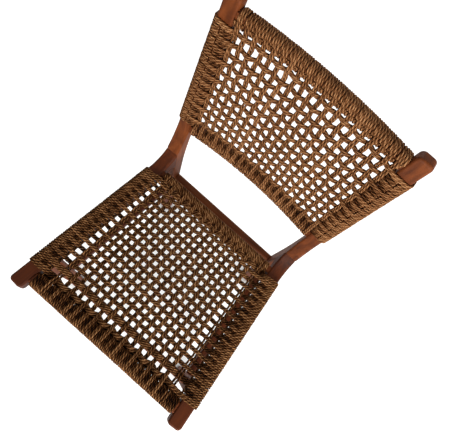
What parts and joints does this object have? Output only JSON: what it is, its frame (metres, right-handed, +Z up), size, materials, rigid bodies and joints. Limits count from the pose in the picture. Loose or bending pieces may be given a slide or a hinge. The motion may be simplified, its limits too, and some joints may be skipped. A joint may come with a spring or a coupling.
{
  "type": "side chair with woven rope seat and back",
  "caption": "Hardwood side chair with raised post tips, forward horns on the seat rails and an open rope weave for the seat and the bowed, reclined back.",
  "frame": {"origin": "centre of the footprint at floor level (bounding box, bottom centre)", "axes": "+Z up, the sitter faces -Y, +X is the sitter's left"},
  "size_m": [0.484, 0.5863, 0.8859],
  "materials": {
    "frame_wood": "satin reddish mahogany",
    "seat_rope": "matt twisted fibre rope, darker brown",
    "back_rope": "matt twisted fibre rope, golden brown"
  },
  "bodies": {
    "root": {"rear_post_left": "frame_wood", "rear_post_right": "frame_wood", "side_rail_left": "frame_wood", "side_rail_right": "frame_wood", "front_leg_left": "frame_wood", "front_leg_right": "frame_wood", "side_stretcher_left": "frame_wood", "side_stretcher_right": "frame_wood", "seat_side_wrap_left": "seat_rope", "seat_side_wrap_right": "seat_rope", "back_side_wrap_left": "back_rope", "back_side_wrap_right": "back_rope", "seat_front_rail": "frame_wood", "seat_rear_rail": "frame_wood", "back_low_rail": "frame_wood", "back_top_rail": "frame_wood", "front_stretcher": "frame_wood", "rear_stretcher": "frame_wood", "seat_front_wrap": "seat_rope", "seat_rear_wrap": "seat_rope", "back_low_wrap": "back_rope", "back_top_wrap": "back_rope", "seat_warp": "seat_rope", "seat_weft": "seat_rope", "back_warp": "back_rope", "back_weft": "back_rope"}
  },
  "joints": []
}
